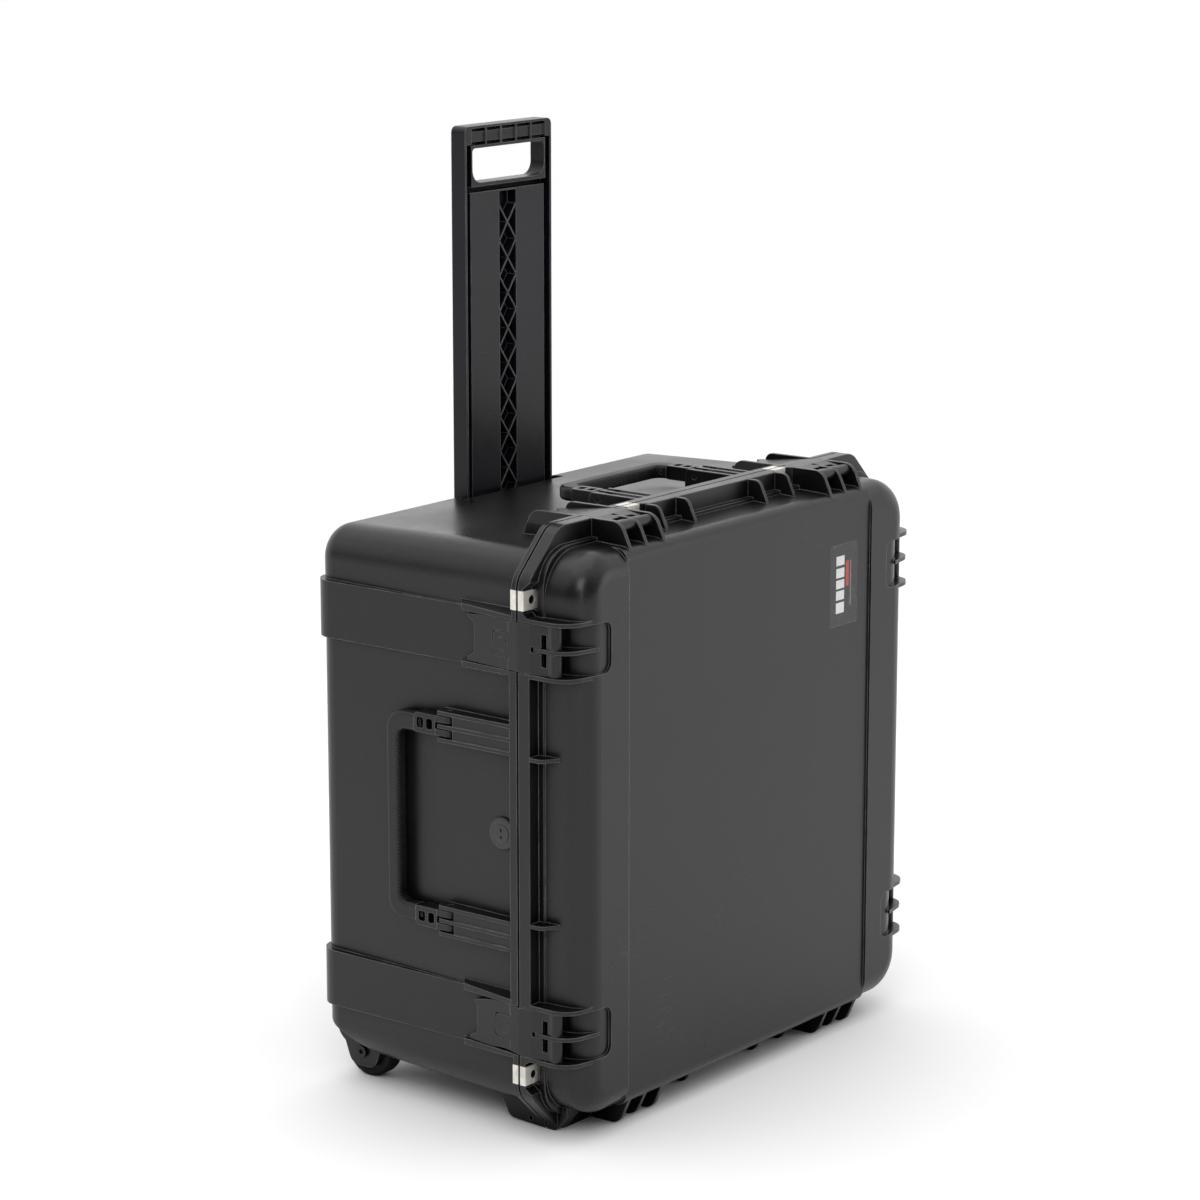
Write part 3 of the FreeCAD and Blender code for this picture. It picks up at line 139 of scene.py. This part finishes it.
class Shader:
    """One node material, with short calls for the nodes used here."""

    def __init__(self, name):
        self.material = bpy.data.materials.new(name)
        self.material.use_nodes = True
        self.tree = self.material.node_tree
        self.surface = self.tree.nodes["Principled BSDF"]
        self.place = self.add("ShaderNodeTexCoord").outputs["Object"]

    def add(self, kind, **settings):
        node = self.tree.nodes.new(kind)
        for key, value in settings.items():
            setattr(node, key, value)
        return node

    def put(self, value, socket):
        """Plug a value, a colour or another node's output into a socket."""
        if isinstance(value, bpy.types.NodeSocket):
            self.tree.links.new(value, socket)
        elif hasattr(value, "__len__") and len(value) == 3 and socket.type == "RGBA":
            socket.default_value = (*value, 1.0)
        else:
            socket.default_value = value

    def noise(self, size, detail=3.0, roughness=0.55, place=None):
        """Smooth noise whose features are about `size` metres across."""
        node = self.add("ShaderNodeTexNoise")
        self.put(place or self.place, node.inputs["Vector"])
        self.put(1.0 / size, node.inputs["Scale"])
        self.put(detail, node.inputs["Detail"])
        self.put(roughness, node.inputs["Roughness"])
        return node.outputs["Fac"]

    def cells(self, size, output="Distance"):
        node = self.add("ShaderNodeTexVoronoi")
        self.put(self.place, node.inputs["Vector"])
        self.put(1.0 / size, node.inputs["Scale"])
        return node.outputs[output]

    def stretched(self, scale, turn=(0.0, 0.0, 0.0)):
        """Object coordinates, turned and stretched."""
        node = self.add("ShaderNodeMapping")
        self.put(self.place, node.inputs["Vector"])
        self.put(turn, node.inputs["Rotation"])
        self.put(scale, node.inputs["Scale"])
        return node.outputs["Vector"]

    def ramp(self, value, low, high, out_low=0.0, out_high=1.0):
        """Map a value from low...high to out_low...out_high, clamped."""
        node = self.add("ShaderNodeMapRange", interpolation_type="SMOOTHSTEP")
        self.put(value, node.inputs["Value"])
        self.put(low, node.inputs["From Min"])
        self.put(high, node.inputs["From Max"])
        self.put(out_low, node.inputs["To Min"])
        self.put(out_high, node.inputs["To Max"])
        return node.outputs["Result"]

    def math(self, operation, a, b=0.0, c=0.0):
        node = self.add("ShaderNodeMath", operation=operation)
        self.put(a, node.inputs[0])
        self.put(b, node.inputs[1])
        self.put(c, node.inputs[2])
        return node.outputs[0]

    def blend(self, share, first, second):
        """Colour between first and second."""
        node = self.add("ShaderNodeMix", data_type="RGBA")
        self.put(share, node.inputs["Factor"])
        self.put(first, node.inputs["A"])
        self.put(second, node.inputs["B"])
        return node.outputs["Result"]

    def rounded_normal(self, radius):
        node = self.add("ShaderNodeBevel", samples=4)
        self.put(radius, node.inputs["Radius"])
        return node.outputs["Normal"]

    def edge_share(self, rounded):
        """1 on sharp edges, 0 on flat faces, from the difference to the rounded normal."""
        flat = self.add("ShaderNodeNewGeometry").outputs["Normal"]
        dot = self.add("ShaderNodeVectorMath", operation="DOT_PRODUCT")
        self.put(flat, dot.inputs[0])
        self.put(rounded, dot.inputs[1])
        return self.ramp(dot.outputs["Value"], 0.985, 0.80)

    def openness(self, distance):
        """1 in the open, 0 deep in a corner or a gap."""
        node = self.add("ShaderNodeAmbientOcclusion", samples=6)
        self.put(distance, node.inputs["Distance"])
        return node.outputs["AO"]

    def bump(self, height, depth, normal=None):
        node = self.add("ShaderNodeBump")
        self.put(height, node.inputs["Height"])
        self.put(depth, node.inputs["Distance"])
        if normal is not None:
            self.put(normal, node.inputs["Normal"])
        return node.outputs["Normal"]


def scratch_mask(shader, length, width, turn, amount):
    """Fine straight scratches along one direction, only in patches."""
    place = shader.stretched((1.0 / length, 1.0 / width, 1.0 / width), turn)
    line = shader.ramp(shader.noise(1.0, 1.0, 0.5, place), 0.72, 0.76)
    patch = shader.ramp(shader.noise(0.11, 2.0), 0.62 - amount, 0.75 - amount)
    return shader.math("MULTIPLY", line, patch)


def scratch_marks(shader, amount):
    """Scratches along two directions, half covering."""
    marks = shader.math(
        "MAXIMUM",
        scratch_mask(shader, 0.035, 0.0006, (0.3, 0.5, 0.7), amount),
        scratch_mask(shader, 0.050, 0.0005, (0.9, -0.4, -0.35), amount),
    )
    return shader.math("MULTIPLY", marks, 0.5)


def dust_specks(shader, amount):
    """Small round specks, one in each of a random share of cells."""
    spot = shader.ramp(shader.cells(DUST_CELL), 0.055, 0.035)
    chance = shader.add("ShaderNodeSeparateColor")
    shader.put(shader.cells(DUST_CELL, "Color"), chance.inputs[0])
    chosen = shader.ramp(chance.outputs[0], 1.0 - amount, 1.01 - amount)
    return shader.math("MULTIPLY", shader.math("MULTIPLY", spot, chosen), 0.6)


def grip_ribs(shader, pitch):
    """Fine ribs across a handle's grip, on the side that the fingers hold."""
    split = shader.add("ShaderNodeSeparateXYZ")
    shader.put(shader.place, split.inputs[0])
    along = shader.math("ADD", split.outputs["X"], split.outputs["Z"])
    wave = shader.math("SINE", shader.math("MULTIPLY", along, 2 * math.pi / pitch))
    facing = shader.add("ShaderNodeSeparateXYZ")
    shader.put(shader.add("ShaderNodeTexCoord").outputs["Normal"], facing.inputs[0])
    return shader.math("MULTIPLY", wave, shader.ramp(facing.outputs["Y"], -0.25, -0.60))


def moulded_plastic(name, colour, roughness, grain=0.0011, depth=0.00007, edge=0.0015,
                    edge_highlight_colour=EDGE_HIGHLIGHT_GREY, scratches=0.0, dust=0.0, specular=0.40, ribs=0.0):
    """Textured black plastic: grain, soft mottling, dust, scratches, edges with a painted highlight,
    corners with painted shade.
    """
    shader = Shader(name)
    rounded = shader.rounded_normal(edge)
    # Painted highlight: sharp edges are blended towards a lighter grey, in patches, and made a little
    # glossier.
    highlight_patches = shader.ramp(shader.noise(0.03, 1.0), 0.35, 0.60, 0.55, 1.0)
    painted_edge_highlight = shader.math("MULTIPLY", shader.edge_share(rounded), highlight_patches)
    cloud = shader.noise(0.09, 4.0)
    darker = tuple(channel * 0.80 for channel in colour)
    lighter = tuple(channel * 1.22 for channel in colour)
    tone = shader.blend(shader.ramp(cloud, 0.35, 0.65), darker, lighter)
    tone = shader.blend(painted_edge_highlight, tone, edge_highlight_colour)
    if scratches:
        tone = shader.blend(scratch_marks(shader, scratches), tone, SCRATCH_GREY)
    if dust:
        tone = shader.blend(dust_specks(shader, dust), tone, DUST)
    rough = shader.ramp(cloud, 0.3, 0.7, roughness - 0.04, roughness + 0.04)
    rough = shader.math("MULTIPLY_ADD", shader.noise(0.006, 3.0), 0.06, rough)
    rough = shader.math("MULTIPLY_ADD", painted_edge_highlight, -0.10, rough)
    pebble = shader.math("MULTIPLY_ADD", shader.noise(grain * 3, 2.0), 0.6, shader.noise(grain, 2.0))
    if ribs:
        pebble = shader.math("MULTIPLY_ADD", grip_ribs(shader, ribs), 6.0, pebble)
    # Painted shade: gloss is turned down in corners and gaps, from ambient occlusion.
    gloss_under_painted_shade = shader.ramp(shader.openness(PAINTED_SHADE_REACH), 0.25, 0.85, 0.10 * specular, specular)
    shader.put(tone, shader.surface.inputs["Base Color"])
    shader.put(rough, shader.surface.inputs["Roughness"])
    shader.put(gloss_under_painted_shade, shader.surface.inputs["Specular IOR Level"])
    shader.put(shader.bump(pebble, depth, rounded), shader.surface.inputs["Normal"])
    return shader.material


def metal(name, colour, roughness, brush, turn=(0.0, 0.0, 0.0), edge=0.0004, metallic=1.0):
    """Bare steel, brushed along one direction, with faint stains."""
    shader = Shader(name)
    rounded = shader.rounded_normal(edge)
    stain = shader.noise(0.012, 4.0)
    tone = shader.blend(shader.ramp(stain, 0.35, 0.7), tuple(c * 0.78 for c in colour), colour)
    place = shader.stretched((1.0 / BRUSH_LENGTH, 1.0 / BRUSH_WIDTH, 1.0 / BRUSH_WIDTH), turn)
    streak = shader.noise(1.0, 2.0, 0.5, place)
    rough = shader.ramp(streak, 0.3, 0.7, roughness - 0.05, roughness + 0.10)
    shader.put(tone, shader.surface.inputs["Base Color"])
    shader.put(metallic, shader.surface.inputs["Metallic"])
    shader.put(rough, shader.surface.inputs["Roughness"])
    shader.put(shader.bump(streak, brush, rounded), shader.surface.inputs["Normal"])
    return shader.material


def within(shader, value, low, high, blur):
    """1 while the value is between low and high, 0 outside."""
    return shader.math(
        "MULTIPLY",
        shader.ramp(value, low, low + blur),
        shader.ramp(value, high, high - blur),
    )


def label_material(name):
    """Generic label: a dark field with a row of plain pale blocks, a red bar and a grey line."""
    shader = Shader(name)
    split = shader.add("ShaderNodeSeparateXYZ")
    shader.put(shader.place, split.inputs[0])
    low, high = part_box("label_plate")
    across = shader.ramp(split.outputs["X"], low.x, high.x)
    up = shader.ramp(split.outputs["Z"], low.z, high.z)
    tone = LABEL_DARK
    for left, right, bottom, top, colour in LABEL_FIELDS:
        sides = within(shader, across, left, right, 0.01)
        ends = within(shader, up, bottom, top, 0.006)
        tone = shader.blend(shader.math("MULTIPLY", sides, ends), tone, colour)
    smudge = shader.noise(0.015, 4.0)
    tone = shader.blend(shader.ramp(smudge, 0.5, 0.8, 0.0, 0.25), tone, (0.20, 0.20, 0.19))
    shader.put(tone, shader.surface.inputs["Base Color"])
    shader.put(shader.ramp(smudge, 0.3, 0.7, 0.22, 0.36), shader.surface.inputs["Roughness"])
    return shader.material


def make_materials():
    materials = {name: moulded_plastic(name, **look) for name, look in PLASTICS.items()}
    materials.update({name: metal(name, **look) for name, look in METALS.items()})
    materials["label"] = label_material("label")
    return materials


def paint_nodes(nodes, materials):
    for name, node in nodes.items():
        finish = next(FINISHES[start] for start in FINISHES if name.startswith(start))
        node.data.materials.clear()
        node.data.materials.append(materials[finish])


def add_camera():
    azimuth = math.radians(CAMERA_AZIMUTH)
    elevation = math.radians(CAMERA_ELEVATION)
    back = Vector((
        math.sin(azimuth) * math.cos(elevation),
        -math.cos(azimuth) * math.cos(elevation),
        math.sin(elevation),
    ))
    data = bpy.data.cameras.new("camera")
    data.lens = CAMERA_LENS
    data.sensor_width = CAMERA_SENSOR
    camera = bpy.data.objects.new("camera", data)
    camera.location = CAMERA_PLACE
    camera.rotation_mode = "QUATERNION"
    camera.rotation_quaternion = back.to_track_quat("Z", "Y")
    bpy.context.scene.collection.objects.link(camera)
    bpy.context.scene.camera = camera


def add_floor():
    """Large pale floor, very slightly uneven in tone."""
    shader = Shader("floor")
    shader.put(shader.blend(shader.noise(0.8, 2.0), (0.94, 0.94, 0.94), (0.97, 0.97, 0.97)),
               shader.surface.inputs["Base Color"])
    shader.put(0.75, shader.surface.inputs["Roughness"])
    mesh = bpy.data.meshes.new("floor")
    far = FLOOR_REACH
    mesh.from_pydata([(-far, -far, 0), (far, -far, 0), (far, far, 0), (-far, far, 0)], [], [(0, 1, 2, 3)])
    mesh.materials.append(shader.material)
    floor = bpy.data.objects.new("floor", mesh)
    bpy.context.scene.collection.objects.link(floor)


def add_softbox(name, place, target, width, height, power):
    data = bpy.data.lights.new(name, "AREA")
    data.shape = "RECTANGLE"
    data.size = width
    data.size_y = height
    data.energy = power
    light = bpy.data.objects.new(name, data)
    light.location = place
    light.rotation_mode = "QUATERNION"
    light.rotation_quaternion = (Vector(target) - Vector(place)).to_track_quat("-Z", "Y")
    bpy.context.scene.collection.objects.link(light)


def add_world():
    """White backdrop behind the case, dimmer walls on the other sides of the studio."""
    world = bpy.data.worlds.new("studio")
    world.use_nodes = True
    nodes = world.node_tree.nodes
    links = world.node_tree.links
    direction = nodes.new("ShaderNodeTexCoord")
    toward = nodes.new("ShaderNodeVectorMath")
    toward.operation = "DOT_PRODUCT"
    toward.inputs[1].default_value = BACKDROP_DIRECTION
    level = nodes.new("ShaderNodeMapRange")
    level.interpolation_type = "SMOOTHSTEP"
    level.inputs["From Min"].default_value = BACKDROP_EDGE[0]
    level.inputs["From Max"].default_value = BACKDROP_EDGE[1]
    level.inputs["To Min"].default_value = WALL_LEVEL
    level.inputs["To Max"].default_value = BACKDROP_LEVEL
    links.new(direction.outputs["Generated"], toward.inputs[0])
    links.new(toward.outputs["Value"], level.inputs["Value"])
    links.new(level.outputs["Result"], nodes["Background"].inputs["Strength"])
    nodes["Background"].inputs["Color"].default_value = (1.0, 1.0, 1.0, 1.0)
    bpy.context.scene.world = world


def add_lights():
    for name, place, width, height, power in SOFTBOXES:
        add_softbox(name, place, SOFTBOX_TARGET, width, height, power)


def main():
    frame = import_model()
    paint_nodes(frame["nodes"], make_materials())
    add_camera()
    add_floor()
    add_world()
    add_lights()
    bpy.context.scene.view_settings.view_transform = "Standard"


main()
